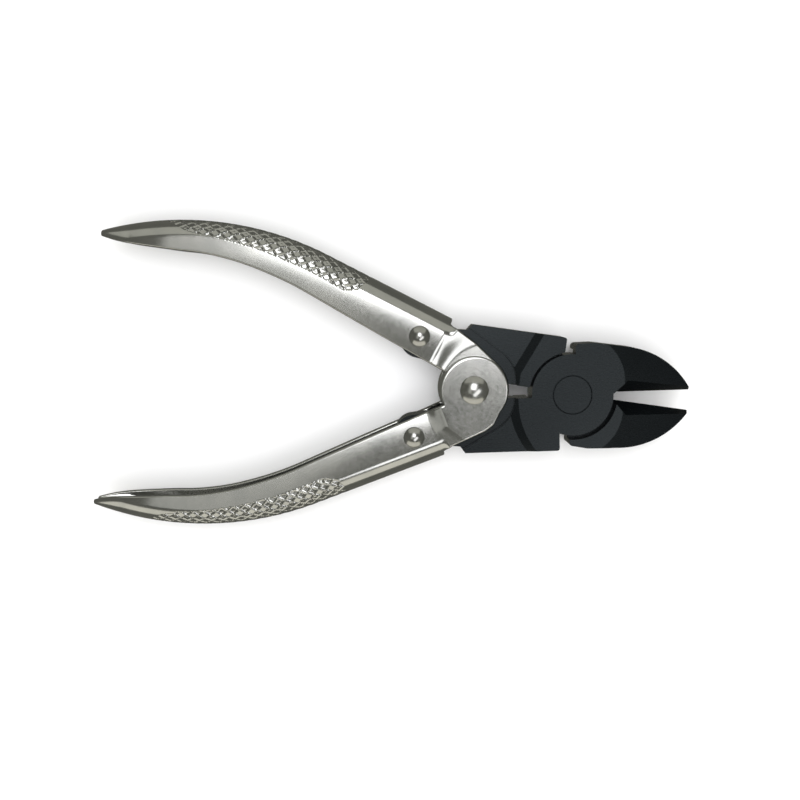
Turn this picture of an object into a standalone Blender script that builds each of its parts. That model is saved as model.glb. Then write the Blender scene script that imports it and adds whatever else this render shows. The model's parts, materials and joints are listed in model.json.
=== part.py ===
"""Sprue nippers: a compound-leverage cutter with two pressed channel handles and two lapped jaws.

Each handle turns on the handle rivet and drives the tail of one jaw through a tail rivet, and the
jaws cross on a flush pin, so the four pivots make a closed four-bar linkage. The tool is open.

Frame: +X runs along the tool to the blade tips, +Y to the upper handle and +Z up, off the surface
that the tool lies on. The origin is below the middle of the tool, at the height of its lowest point.
Lengths are in millimetres and angles in degrees until a mesh is made.
"""

import math

import bmesh
import bpy
from mathutils import Matrix, Vector

MM = 0.001

# Pivots, in plan
JAW_PIVOT_X = 48.0
HANDLE_PIVOT_X = 21.6
TAIL_RIVET_X = 6.3
TAIL_RIVET_Y = 13.5
HANDLE_TILT = 24.0
JAW_OPENING = 4.85

# Levels, measured either way from the tool's middle plane
MIDDLE_Z = 8.15
JAW_HALF = 5.0
TAIL_HALF = 4.2
RECESS_HALF = 3.1
LAP_GAP = 0.05
SHEET = 1.6
WALL_OUTER = 6.2
INNER_EAR_OUTER = 4.9
OUTER_EAR_OUTER = 6.8

# Jaws, drawn closed about the jaw pivot
BLADE_REACH = 32.1
DISC_R = 10.9
LAP_CUT_R = 11.85
LAP_CUT_SHIFT = 0.18
EDGE_HALF_GAP = 0.07
EDGE_HALF_LAND = 0.1
TAIL_HALF_GAP = 0.45
BLADE_SHOULDER_X = 1.0
TAIL_SHOULDER_X = -3.7
TAIL_EDGE_Y = 14.9
STEP_RUN = 2.4
BOSS_R = 5.0
BOSS_INSET = 0.8
BLADE_CONE_CENTRE = (1.0, -3.5)
BLADE_CONE_R = 13.0
BLADE_CONE_SLOPE = 0.2
EDGE_GRIND_START = 11.1
EDGE_GRIND_RUN = 3.7
EDGE_GRIND_LEAD = 4.1
PAST_EDGE = 0.6
PAST_TIP_X = 34.0
SPACER_CLEAR_R = 5.5
EAR_CLEAR_R = 9.8

# Handles, in plan coordinates along the handle (s) and out from it (n), about the handle rivet
SPINE_START = 13.8
SPINE_N = 14.2
BEND_START = 51.1
BEND_R = 85.3
BEND_SWEEP = 41.73
CAP_RISE = 5.0
UPPER_EAR_R = 9.4
LOWER_EAR_R = 9.1
LIP_N_AT_EAR = 0.65
EAR_STEP_START = 14.7
UPPER_EAR_FLAT_S = 9.3
UPPER_EAR_FLAT_N = 12.6
LOWER_CREASE_S = 10.0
LOWER_CREASE_N = 6.6
LOWER_CREASE_SLANT = 0.66
SPINE_LENGTH = BEND_START - SPINE_START + math.radians(BEND_SWEEP) * BEND_R
# (length along the spine, depth of the channel there)
DEPTHS = [(0, 13.4), (16, 12.7), (35, 11.7), (50, 10.8), (61, 9.8), (72, 8.8), (79, 8.2), (86, 6.9),
          (91, 5.6), (95, 4.1), (98, 2.5), (100, 1.3)]
NARROWING_START = 80.0
NARROWING_LENGTH = 21.6
THINNING_START = 90.0
TIP_SHEET = 1.1
CAP_STEPS = 6
WALL_STEPS = 4
PATCH_ROWS = WALL_STEPS + 3
EAR_COLUMNS = 14
SECTION_LENGTHS = [*range(0, 79, 6), 83, 87, 90, 93, 96, 98.5, SPINE_LENGTH]
# The front edges of the ears, from the channel's end to where the ear's own circle starts
UPPER_EAR_FRONT = [(12.3, 12.6), (11.4, 12.4), (5.4, 11.4), (-2.6, 9.03)]
LOWER_EAR_FRONT = [(12.4, 12.7), (10.8, 12.1), (5.5, 11.7), (1.1, 11.4), (-1.6, 10.6), (-4.4, 7.97)]

# Rivets and pins
PIN_R = 5.15
PIN_SHANK_R = 4.2
PIN_COUNTERSINK = 1.2
RIVET_SHANK_R = 3.0
RIVET_HEAD_R = 3.8
RIVET_DOME = 1.35
TAIL_SHANK_R = 1.9
TAIL_HEAD_R = 2.8
TAIL_DOME = 1.3
SPACER_OUTER_R = 4.6
FIT = 0.1
OPEN_PIVOT_FIT = 0.3
HEAD_GAP = 0.08

STEEL = ("satin_steel", (0.62, 0.61, 0.58), 0.32, 1.0)
DOME_STEEL = ("polished_steel", (0.66, 0.65, 0.63), 0.2, 1.0)
BLACK = ("black_oxide", (0.035, 0.038, 0.043), 0.42, 0.6)
PIN_BLACK = ("ground_black", (0.05, 0.053, 0.06), 0.4, 0.6)
SPACER_STEEL = ("turned_steel", (0.5, 0.5, 0.49), 0.35, 1.0)


# ---- plan geometry ----

def arc(centre, radius, start, end, count):
    """count + 1 points on an arc, both ends included."""
    turns = [math.radians(start + (end - start) * i / count) for i in range(count + 1)]
    return [(centre[0] + radius * math.cos(t), centre[1] + radius * math.sin(t)) for t in turns]


def arc_through(first, middle, last, count):
    """Points on the arc from first through middle to last."""
    (ax, ay), (bx, by), (cx, cy) = first, middle, last
    area = 2 * (ax * (by - cy) + bx * (cy - ay) + cx * (ay - by))
    a2, b2, c2 = ax * ax + ay * ay, bx * bx + by * by, cx * cx + cy * cy
    centre = ((a2 * (by - cy) + b2 * (cy - ay) + c2 * (ay - by)) / area,
              (a2 * (cx - bx) + b2 * (ax - cx) + c2 * (bx - ax)) / area)
    radius = math.dist(centre, first)
    start = math.degrees(math.atan2(ay - centre[1], ax - centre[0]))
    end = math.degrees(math.atan2(cy - centre[1], cx - centre[0]))
    if area > 0 and end < start:
        end += 360
    if area < 0 and end > start:
        end -= 360
    return arc(centre, radius, start, end, count)


def turned_point(point, degrees):
    """The plan point turned about the origin."""
    x, y = point
    c, s = math.cos(math.radians(degrees)), math.sin(math.radians(degrees))
    return (x * c - y * s, x * s + y * c)


def smooth_step(value):
    value = min(max(value, 0.0), 1.0)
    return value * value * (3 - 2 * value)


def through_stations(stations, at):
    """A smooth curve through (position, value) stations, read at one position."""
    if at <= stations[0][0]:
        return stations[0][1]
    for i in range(len(stations) - 1):
        (p1, v1), (p2, v2) = stations[i], stations[i + 1]
        if at <= p2:
            break
    else:
        return stations[-1][1]
    p0, v0 = stations[max(i - 1, 0)]
    p3, v3 = stations[min(i + 2, len(stations) - 1)]
    run = p2 - p1
    slope1 = (v2 - v0) / (p2 - p0) * run
    slope2 = (v3 - v1) / (p3 - p1) * run
    t = (at - p1) / run
    return ((2 * t ** 3 - 3 * t ** 2 + 1) * v1 + (t ** 3 - 2 * t ** 2 + t) * slope1
            + (3 * t ** 2 - 2 * t ** 3) * v2 + (t ** 3 - t ** 2) * slope2)


# ---- solids ----

def loft(lower, low_z, upper, high_z):
    """A closed bmesh between two outlines with the same number of points."""
    bm = bmesh.new()
    rings = [[bm.verts.new((x * MM, y * MM, z * MM)) for x, y in outline]
             for outline, z in ((lower, low_z), (upper, high_z))]
    count = len(lower)
    bm.faces.new(reversed(rings[0]))
    bm.faces.new(rings[1])
    for i in range(count):
        after = (i + 1) % count
        bm.faces.new((rings[0][i], rings[0][after], rings[1][after], rings[1][i]))
    bmesh.ops.recalc_face_normals(bm, faces=bm.faces)
    return bm


def prism(outline, low_z, high_z):
    return loft(outline, low_z, outline, high_z)


def turned(profile, ring=False, segments=40, start=0.0, sweep=360.0):
    """A closed bmesh turned about Z from (radius, height) points. A ring's profile closes on itself,
    and a sweep under 360 makes a sector with flat ends."""
    bm = bmesh.new()
    whole = sweep == 360.0
    steps = segments if whole else segments + 1
    columns = []
    poles = {}
    for i in range(steps):
        t = math.radians(start + sweep * i / segments)
        column = []
        for k, (r, z) in enumerate(profile):
            if r == 0 and k in poles:
                column.append(poles[k])
                continue
            vert = bm.verts.new((r * math.cos(t) * MM, r * math.sin(t) * MM, z * MM))
            if r == 0:
                poles[k] = vert
            column.append(vert)
        columns.append(column)
    spans = len(profile) if ring else len(profile) - 1
    for i in range(segments):
        here, there = columns[i], columns[(i + 1) % len(columns)]
        for k in range(spans):
            after = (k + 1) % len(profile)
            corners = [here[k], there[k], there[after], here[after]]
            face = [v for j, v in enumerate(corners) if v not in corners[:j]]
            bm.faces.new(face)
    if not whole:
        bm.faces.new(columns[0])
        bm.faces.new(columns[-1])
    bmesh.ops.recalc_face_normals(bm, faces=bm.faces)
    return bm


def hull(points):
    """The convex hull of points, as a closed bmesh."""
    bm = bmesh.new()
    verts = [bm.verts.new(Vector(p) * MM) for p in points]
    made = bmesh.ops.convex_hull(bm, input=verts)
    loose = set(made["geom_interior"]) | set(made["geom_unused"])
    bmesh.ops.delete(bm, geom=list(loose), context="VERTS")
    bmesh.ops.recalc_face_normals(bm, faces=bm.faces)
    return bm


def moved(bm, x, y):
    """The same bmesh, shifted in plan."""
    bmesh.ops.translate(bm, vec=(x * MM, y * MM, 0), verts=bm.verts)
    return bm


def mirrored_down(bm):
    """The same cutter on the rear side."""
    bmesh.ops.transform(bm, matrix=Matrix.Scale(-1, 4, (0, 0, 1)), verts=bm.verts)
    bmesh.ops.reverse_faces(bm, faces=bm.faces)
    return bm


def mesh_of(bm, name):
    mesh = bpy.data.meshes.new(name)
    bm.to_mesh(mesh)
    bm.free()
    return mesh


def carved(name, blank, cutters):
    """The mesh of a blank after each cutter is taken away from it."""
    block = bpy.data.objects.new(name, mesh_of(blank, name))
    bpy.context.collection.objects.link(block)
    tools = []
    for i, cutter in enumerate(cutters):
        tool = bpy.data.objects.new(f"{name}_cutter_{i}", mesh_of(cutter, f"{name}_cutter_{i}"))
        bpy.context.collection.objects.link(tool)
        cut = block.modifiers.new(tool.name, "BOOLEAN")
        cut.operation = "DIFFERENCE"
        cut.solver = "EXACT"
        cut.object = tool
        tools.append(tool)
    graph = bpy.context.evaluated_depsgraph_get()
    result = bpy.data.meshes.new_from_object(block.evaluated_get(graph))
    for used in [block, *tools]:
        bpy.data.objects.remove(used)
    return result


# ---- jaws ----

def jaw_pivot_offset(x, y):
    """A point of the open tool's plan, seen from the lower jaw's closed frame."""
    return turned_point((x - JAW_PIVOT_X, y), JAW_OPENING)


def closed_handle_pivot_x():
    """Where the handle rivet lies from the jaw pivot once the blades meet."""
    link = math.hypot(TAIL_RIVET_X - HANDLE_PIVOT_X, TAIL_RIVET_Y)
    tail_x, tail_y = jaw_pivot_offset(TAIL_RIVET_X, TAIL_RIVET_Y)
    return tail_x + math.sqrt(link ** 2 - tail_y ** 2)


def boss_centre():
    x, y = jaw_pivot_offset(TAIL_RIVET_X, TAIL_RIVET_Y)
    return (x, y - BOSS_INSET)


def blade_back():
    """The outer edge of the blade, from its shoulder to its tip."""
    root = [(BLADE_SHOULDER_X, -10.8), (BLADE_SHOULDER_X, -13.0), (BLADE_SHOULDER_X + 0.7, -13.6)]
    return root + [(6.2, -13.7)] + arc_through((14.2, -12.5), (25.2, -8.3), (32.0, -0.8), 14)


def jaw_outline():
    """The jaw's plan when closed: disc, tail up to the left, blade down to the right."""
    handle_x = closed_handle_pivot_x()
    half_mouth = math.degrees(math.asin(EDGE_HALF_GAP / DISC_R))
    half_notch = math.degrees(math.asin(TAIL_HALF_GAP / DISC_R))
    tail_meets_disc = math.degrees(math.acos(TAIL_SHOULDER_X / DISC_R))
    blade_meets_disc = 360 - math.degrees(math.acos(BLADE_SHOULDER_X / DISC_R))
    spacer_meets_tail = math.degrees(math.asin(TAIL_HALF_GAP / SPACER_CLEAR_R))
    points = [(BLADE_REACH, -EDGE_HALF_GAP)]
    points += arc((0, 0), DISC_R, -half_mouth, tail_meets_disc, 14)
    points += [(TAIL_SHOULDER_X, TAIL_EDGE_Y - 0.6), (TAIL_SHOULDER_X - 0.6, TAIL_EDGE_Y)]
    points += [(-29.0, TAIL_EDGE_Y), (-30.3, 13.2), (-37.7, 12.5)]
    points += arc(boss_centre(), BOSS_R, 60, 265, 14)
    points += arc((handle_x, 0), SPACER_CLEAR_R, 150, spacer_meets_tail, 12)
    points += arc((0, 0), DISC_R, 180 - half_notch, blade_meets_disc, 12)
    return points + blade_back()[1:]


def front_step():
    """The angular edge of the thick block on the side that faces forward."""
    return [(-9.65, 15.5), (-13.5, 6.3), (-14.6, 3.7), (-14.5, -1.0)]


def rear_step():
    """The curved edge of the thick block on the other side."""
    return arc_through((-9.4, 15.5), (-13.0, 9.4), (-14.5, 1.1), 8) + [(-14.5, -1.0)]


def step_cutter(edge):
    """Brings the tail down to its level, with a slope next to the thick block."""
    rise = JAW_HALF - TAIL_HALF
    over = 0.2
    far = [(-60.0, -1.0), (-60.0, 15.5)]
    low = [(x - STEP_RUN, y) for x, y in edge]
    high = [(x + STEP_RUN * over / rise, y) for x, y in edge]
    return loft(low + far, TAIL_HALF, high + far, JAW_HALF + over)


def recess_cutter():
    """The milled flat that the handles' ears swing over."""
    handle = (closed_handle_pivot_x(), 0)
    outline = [(-38.6, -2.0), (handle[0] + EAR_CLEAR_R, -2.0)]
    outline += arc(handle, EAR_CLEAR_R, 0, 62, 10) + [(-27.6, 12.75), (-36.0, 17.3), (-38.6, 18.5)]
    return prism(outline, RECESS_HALF, JAW_HALF + 1)


def lap_cutter():
    """Clears half the thickness round the pivot for the other jaw's disc."""
    outline = arc((LAP_CUT_SHIFT, -LAP_CUT_SHIFT), LAP_CUT_R, 0, 355, 71)
    return prism(outline, -LAP_GAP, JAW_HALF + 1)


def cone_cutter():
    """Thins the blade towards its tip."""
    reach = 40.0
    inner = BLADE_CONE_R - 1.0
    profile = [(inner, JAW_HALF + BLADE_CONE_SLOPE),
               (reach, JAW_HALF - BLADE_CONE_SLOPE * (reach - BLADE_CONE_R)),
               (reach, JAW_HALF + 2), (inner, JAW_HALF + 2)]
    return moved(turned(profile, ring=True, segments=28, start=-88, sweep=110), *BLADE_CONE_CENTRE)


def edge_cutter():
    """Grinds the blade to its cutting edge on one side."""
    top = JAW_HALF + 0.2
    line = []
    for x in (EDGE_GRIND_START, PAST_TIP_X):
        for y in (PAST_EDGE, -EDGE_HALF_GAP):
            line.append((x, y, EDGE_HALF_LAND))
    back = [(EDGE_GRIND_START, -EDGE_HALF_GAP, top),
            (EDGE_GRIND_START + EDGE_GRIND_LEAD, -EDGE_GRIND_RUN, top), (PAST_TIP_X, -EDGE_GRIND_RUN, top)]
    return hull(line + back + [(EDGE_GRIND_START, PAST_EDGE, top), (PAST_TIP_X, PAST_EDGE, top)])


def countersunk(radius, shank, depth, half):
    """A shank with a flared end at each face, as (radius, height) points up the outside."""
    return [(0, -half), (radius, -half), (shank, depth - half),
            (shank, half - depth), (radius, half), (0, half)]


def jaw_mesh():
    """Both jaws are the same forging, one turned over."""
    tail_rivet = jaw_pivot_offset(TAIL_RIVET_X, TAIL_RIVET_Y)
    pin_hole = countersunk(PIN_R + FIT, PIN_SHANK_R + FIT, PIN_COUNTERSINK, JAW_HALF)
    pin_hole = [(PIN_R + FIT, -JAW_HALF - 1)] + pin_hole[1:5] + [(PIN_R + FIT, JAW_HALF + 1)]
    pin_hole = [(0, -JAW_HALF - 1)] + pin_hole + [(0, JAW_HALF + 1)]
    rivet_outline = arc(tail_rivet, TAIL_SHANK_R + OPEN_PIVOT_FIT, 0, 345, 23)
    rivet_hole = prism(rivet_outline, -JAW_HALF - 1, JAW_HALF + 1)
    cutters = [step_cutter(front_step()), mirrored_down(step_cutter(rear_step())),
               recess_cutter(), mirrored_down(recess_cutter()), lap_cutter(),
               cone_cutter(), mirrored_down(cone_cutter()), edge_cutter(), mirrored_down(edge_cutter()),
               turned(pin_hole, segments=48), rivet_hole]
    return carved("jaw", prism(jaw_outline(), -JAW_HALF, JAW_HALF), cutters)


# ---- handles ----


def spine_point(t):
    """The outer edge at length t along it: (s, n) and the outward direction there."""
    straight = BEND_START - SPINE_START
    if t <= straight:
        return (SPINE_START + t, SPINE_N), (0.0, 1.0)
    turn = (t - straight) / BEND_R
    out = (math.sin(turn), math.cos(turn))
    return (BEND_START + BEND_R * out[0], SPINE_N - BEND_R + BEND_R * out[1]), out


def half_width(t):
    past = max(t - NARROWING_START, 0) / NARROWING_LENGTH
    return WALL_OUTER * math.sqrt(1 - past ** 2)


def half_section(t):
    """One side of the channel at length t: (depth below the outer edge, z, outward direction), lip first."""
    depth = through_stations(DEPTHS, t)
    width = half_width(t)
    rise = min(CAP_RISE, depth * 0.999)
    rows = []
    for k in range(WALL_STEPS):
        rows.append((depth + (rise - depth) * k / WALL_STEPS, width, (0.0, 1.0)))
    for k in range(CAP_STEPS + 1):
        a = math.radians(90 * (1 - k / CAP_STEPS))
        towards = Vector((math.cos(a) / rise, math.sin(a) / width)).normalized()
        rows.append((rise * (1 - math.cos(a)), width * math.sin(a), (towards.x, towards.y)))
    return rows


def channel_column(t):
    """Outer and inner points of the whole section at length t, from the front lip over the spine."""
    (s, n), out = spine_point(t)
    thinning = smooth_step((t - THINNING_START) / (SPINE_LENGTH - THINNING_START))
    sheet = SHEET + (TIP_SHEET - SHEET) * thinning
    rows = [(d, z, towards) for d, z, towards in half_section(t)]
    rows += [(d, -z, (u, -w)) for d, z, (u, w) in reversed(rows[:-1])]
    outer = [Vector((s - out[0] * d, n - out[1] * d, z)) for d, z, _ in rows]
    inner = [p - sheet * Vector((out[0] * u, out[1] * u, w)) for p, (_, _, (u, w)) in zip(outer, rows)]
    return outer, inner


def resampled(line, count):
    """count + 1 points at even steps along a line of plan points."""
    lengths = [0.0]
    for a, b in zip(line, line[1:]):
        lengths.append(lengths[-1] + math.dist(a, b))
    points = []
    for i in range(count + 1):
        want = lengths[-1] * i / count
        k = min(next((j for j, d in enumerate(lengths) if d >= want - 1e-9), len(line) - 1), len(line) - 1)
        k = max(k, 1)
        part = (want - lengths[k - 1]) / (lengths[k] - lengths[k - 1])
        (ax, ay), (bx, by) = line[k - 1], line[k]
        points.append((ax + (bx - ax) * part, ay + (by - ay) * part))
    return points


def ear_patch(front_edge, ear_r):
    """Plan points of the flat wall from the channel's end round the ear, by column and row."""
    section = half_section(0)[:PATCH_ROWS + 1]
    root = [(SPINE_START, SPINE_N - d) for d, _, _ in section]
    lip_angle = math.degrees(math.asin(LIP_N_AT_EAR / ear_r))
    lip_line = [root[0]] + arc((0, 0), ear_r, lip_angle, -135, 40)
    last = front_edge[-1]
    front_line = [root[-1]] + front_edge
    front_line += arc((0, 0), ear_r, math.degrees(math.atan2(last[1], last[0])) + 2, 135, 16)
    lips = resampled(lip_line, EAR_COLUMNS)
    fronts = resampled(front_line, EAR_COLUMNS)
    ends = arc((0, 0), ear_r, 225, 135, PATCH_ROWS)
    shares = [(root[0][1] - p[1]) / (root[0][1] - root[-1][1]) for p in root]
    grid = []
    for i in range(EAR_COLUMNS + 1):
        a = i / EAR_COLUMNS
        column = []
        for k, b in enumerate(shares):
            point = []
            for axis in (0, 1):
                across = (1 - b) * lips[i][axis] + b * fronts[i][axis]
                along = (1 - a) * root[k][axis] + a * ends[k][axis]
                corners = ((1 - a) * ((1 - b) * root[0][axis] + b * root[-1][axis])
                           + a * ((1 - b) * ends[0][axis] + b * ends[-1][axis]))
                point.append(across + along - corners)
            column.append(tuple(point))
        grid.append(column)
    return grid


def upper_ear_share(s, n):
    """How far the upper handle's wall has sloped in to its ear, which is flat under the other's ear."""
    flat_from = UPPER_EAR_FLAT_S * math.sqrt(max(1 - (n / UPPER_EAR_FLAT_N) ** 2, 0.0))
    ramp = min(max((EAR_STEP_START - s) / (EAR_STEP_START - flat_from), 0.0), 1.0)
    return 0.6 * ramp + 0.4 * smooth_step(ramp)


def lower_ear_share(s, n):
    """How far the lower handle's wall has risen to its ear, up to a crease that slants to the front."""
    crease = LOWER_CREASE_S - LOWER_CREASE_SLANT * max(n - LOWER_CREASE_N, 0.0)
    ramp = min(max((EAR_STEP_START - s) / (EAR_STEP_START - crease), 0.0), 1.0)
    return ramp ** 2


def ear_columns(front_edge, ear_r, ear_outer, ear_share):
    """Outer and inner points of both ears, from the ear's front back to the channel."""
    section = half_section(0)[:PATCH_ROWS + 1]
    result = []
    for column in reversed(ear_patch(front_edge, ear_r)[1:]):
        outer, inner = [], []
        for (s, n), (_, section_z, (lean, upright)) in zip(column, section):
            flat = smooth_step((SPINE_START - s) / 2.5)
            share = ear_share(s, n)
            z = (section_z + (WALL_OUTER - section_z) * flat) * (1 - share) + ear_outer * share
            towards = Vector((lean * (1 - flat), upright * (1 - flat) + flat)).normalized()
            outer.append(Vector((s, n, z)))
            inner.append(Vector((s, n - SHEET * towards.x, z - SHEET * towards.y)))
        result.append((outer, inner))
    return result


def sheet_body(columns, is_metal):
    """A closed bmesh of a sheet from columns of (outer, inner) points and a test for each cell."""
    bm = bmesh.new()
    verts = {}

    def vert(i, k, side):
        if (i, k, side) not in verts:
            verts[i, k, side] = bm.verts.new(columns[i][side][k] * MM)
        return verts[i, k, side]

    for i in range(len(columns) - 1):
        for k in range(len(columns[i][0]) - 1):
            if not is_metal(i, k):
                continue
            corners = [(i, k), (i + 1, k), (i + 1, k + 1), (i, k + 1)]
            bm.faces.new([vert(*c, 0) for c in corners])
            bm.faces.new([vert(*c, 1) for c in reversed(corners)])
            beyond = [(i, k - 1), (i + 1, k), (i, k + 1), (i - 1, k)]
            for side, other in enumerate(beyond):
                if is_metal(*other):
                    continue
                a, b = corners[side], corners[(side + 1) % 4]
                bm.faces.new([vert(*b, 0), vert(*a, 0), vert(*a, 1), vert(*b, 1)])
    bmesh.ops.recalc_face_normals(bm, faces=bm.faces)
    return bm


def handle_mesh(name, side, front_edge, ear_r, ear_outer, ear_share):
    """A pressed channel handle with two ears. side is 1 above the tool's axis and -1 below it."""
    rows = 2 * (WALL_STEPS + CAP_STEPS)
    filler = [Vector((0, 0, 0))] * (rows + 1 - 2 * (PATCH_ROWS + 1))
    columns = []
    for outer, inner in ear_columns(front_edge, ear_r, ear_outer, ear_share):
        whole = []
        for points in (outer, inner):
            back = [Vector((p.x, p.y, -p.z)) for p in reversed(points)]
            whole.append(points + filler + back)
        columns.append(tuple(whole))
    ears = len(columns)
    columns += [channel_column(t) for t in SECTION_LENGTHS]

    def is_metal(i, k):
        if not (0 <= i < len(columns) - 1 and 0 <= k < rows):
            return False
        return i >= ears or k < PATCH_ROWS or k >= rows - PATCH_ROWS

    bm = sheet_body(columns, is_metal)
    tilt = math.radians(HANDLE_TILT)
    plan = Matrix(((-math.cos(tilt), math.sin(tilt), 0, 0),
                   (side * math.sin(tilt), side * math.cos(tilt), 0, 0),
                   (0, 0, 1, 0), (0, 0, 0, 1)))
    bmesh.ops.transform(bm, matrix=plan, verts=bm.verts)
    bmesh.ops.recalc_face_normals(bm, faces=bm.faces)
    tail = (TAIL_RIVET_X - HANDLE_PIVOT_X, side * TAIL_RIVET_Y)
    holes = [prism(arc((0, 0), RIVET_SHANK_R + FIT, 0, 350, 35), -10, 10),
             prism(arc(tail, TAIL_SHANK_R + FIT, 0, 345, 23), -10, 10)]
    return carved(name, bm, holes)


# ---- rivets, pin and spacer ----

def domed_rivet(shank_r, head_r, seat, dome):
    """A rivet with a low dome at each end; seat is the height of the heads' flat undersides."""
    steps = 6
    ball = (head_r ** 2 + dome ** 2) / (2 * dome)
    edge = math.degrees(math.asin(head_r / ball))
    top = [(ball * math.sin(math.radians(a)), seat + dome - ball + ball * math.cos(math.radians(a)))
           for a in [edge * (1 - k / steps) for k in range(steps)]] + [(0, seat + dome)]
    up = [(shank_r, 0), (shank_r, seat)] + top
    down = [(r, -z) for r, z in reversed(up[1:])]
    return turned(down + up[1:], segments=32)


def flush_pin():
    return turned(countersunk(PIN_R, PIN_SHANK_R, PIN_COUNTERSINK, JAW_HALF - LAP_GAP), segments=48)


def spacer():
    half = INNER_EAR_OUTER - SHEET - HEAD_GAP
    bore = RIVET_SHANK_R + FIT
    chamfer = 0.3
    outside = [(SPACER_OUTER_R - chamfer, -half), (SPACER_OUTER_R, chamfer - half),
               (SPACER_OUTER_R, half - chamfer), (SPACER_OUTER_R - chamfer, half)]
    return turned([(bore, -half)] + outside + [(bore, half)], ring=True, segments=36)


# ---- the tool ----

def finish_material(finish):
    name, colour, roughness, metallic = finish
    made = bpy.data.materials.new(name)
    made.use_nodes = True
    shader = made.node_tree.nodes["Principled BSDF"]
    shader.inputs["Base Color"].default_value = (*colour, 1.0)
    shader.inputs["Roughness"].default_value = roughness
    shader.inputs["Metallic"].default_value = metallic
    return made


def add_piece(name, mesh, finish, x, y=0.0, turn=0.0, turn_over=False):
    """A named piece whose origin is on its pivot, at the tool's middle plane."""
    mesh = mesh if mesh.users == 0 else mesh.copy()
    mesh.name = name
    mesh.materials.clear()
    mesh.materials.append(finish_material(finish))
    mesh.shade_smooth()
    mesh.set_sharp_from_angle(angle=math.radians(32))
    piece = bpy.data.objects.new(name, mesh)
    piece.location = (x * MM, y * MM, MIDDLE_Z * MM)
    piece.rotation_euler = (math.pi if turn_over else 0.0, 0.0, math.radians(turn))
    bpy.context.collection.objects.link(piece)
    return piece


def add_jaws():
    mesh = jaw_mesh()
    add_piece("lower_jaw", mesh, BLACK, JAW_PIVOT_X, turn=-JAW_OPENING)
    add_piece("upper_jaw", mesh, BLACK, JAW_PIVOT_X, turn=JAW_OPENING, turn_over=True)
    add_piece("jaw_pivot_pin", mesh_of(flush_pin(), "pin"), PIN_BLACK, JAW_PIVOT_X)


def add_handles():
    upper = handle_mesh("upper_handle", 1, UPPER_EAR_FRONT, UPPER_EAR_R, INNER_EAR_OUTER, upper_ear_share)
    lower = handle_mesh("lower_handle", -1, LOWER_EAR_FRONT, LOWER_EAR_R, OUTER_EAR_OUTER, lower_ear_share)
    add_piece("upper_handle", upper, STEEL, HANDLE_PIVOT_X)
    add_piece("lower_handle", lower, STEEL, HANDLE_PIVOT_X)


def add_rivets():
    handle_rivet = domed_rivet(RIVET_SHANK_R, RIVET_HEAD_R, OUTER_EAR_OUTER + HEAD_GAP, RIVET_DOME - HEAD_GAP)
    add_piece("handle_rivet", mesh_of(handle_rivet, "rivet"), DOME_STEEL, HANDLE_PIVOT_X)
    add_piece("pivot_spacer", mesh_of(spacer(), "spacer"), SPACER_STEEL, HANDLE_PIVOT_X)
    tail_rivet = domed_rivet(TAIL_SHANK_R, TAIL_HEAD_R, WALL_OUTER + HEAD_GAP, TAIL_DOME)
    tail_mesh = mesh_of(tail_rivet, "tail_rivet")
    add_piece("upper_tail_rivet", tail_mesh, DOME_STEEL, TAIL_RIVET_X, TAIL_RIVET_Y)
    add_piece("lower_tail_rivet", tail_mesh, DOME_STEEL, TAIL_RIVET_X, -TAIL_RIVET_Y)


def main():
    for old in list(bpy.data.objects):
        bpy.data.objects.remove(old)
    add_jaws()
    add_handles()
    add_rivets()


main()
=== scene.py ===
"""The looks of the sprue nippers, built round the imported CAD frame.

Handles, jaws, rivets and pin are made again as fine meshes in the space that their CAD solids hold:
pressed channels with a knurled grip and rolled edges, and forged jaws with broken edges. Lengths are
in millimetres and angles in degrees until a mesh is made.
"""

import json
import math

import bmesh
import bpy
from mathutils import Matrix, Vector, noise


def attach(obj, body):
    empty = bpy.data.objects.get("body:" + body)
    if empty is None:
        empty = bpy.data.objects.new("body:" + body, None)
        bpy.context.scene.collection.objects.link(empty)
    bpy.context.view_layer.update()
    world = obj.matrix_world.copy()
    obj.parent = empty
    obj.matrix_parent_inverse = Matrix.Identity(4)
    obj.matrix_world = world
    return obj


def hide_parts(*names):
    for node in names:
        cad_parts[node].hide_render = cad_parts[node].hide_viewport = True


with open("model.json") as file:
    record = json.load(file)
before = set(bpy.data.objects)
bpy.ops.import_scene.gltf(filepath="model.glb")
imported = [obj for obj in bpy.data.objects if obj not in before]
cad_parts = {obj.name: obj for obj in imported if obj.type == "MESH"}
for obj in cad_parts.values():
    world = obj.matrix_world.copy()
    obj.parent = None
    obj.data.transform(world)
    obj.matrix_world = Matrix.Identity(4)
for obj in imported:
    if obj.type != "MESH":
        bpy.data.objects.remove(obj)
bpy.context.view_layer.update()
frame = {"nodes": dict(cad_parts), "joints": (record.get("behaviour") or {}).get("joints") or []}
MM = 0.001

# Pivots, from the frame
PIVOTS = {joint["name"]: Vector(joint["pos_m"]) / MM for joint in frame["joints"]}
HANDLE_PIVOT = PIVOTS["handle_squeeze"]
JAW_PIVOT = PIVOTS["jaw_pivot"]
LOWER_TAIL = PIVOTS["tail_pivot"]
UPPER_TAIL = Vector((LOWER_TAIL.x, -LOWER_TAIL.y, LOWER_TAIL.z))
MIDDLE_Z = JAW_PIVOT.z

# How far each handle and each jaw is turned from the tool's axis while open
HANDLE_TILT = 24.0
JAW_OPENING = 4.85

# Longest chord on a round outline, and half the height of a cutter that goes right through
CHORD = 0.25
THROUGH = 10.0

# Levels, measured either way from the tool's middle plane
JAW_HALF = 5.0
TAIL_HALF = 4.2
RECESS_HALF = 3.1
LAP_GAP = 0.05
SHEET = 1.6
WALL_OUTER = 6.2
INNER_EAR_OUTER = 4.9
OUTER_EAR_OUTER = 6.8

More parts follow.
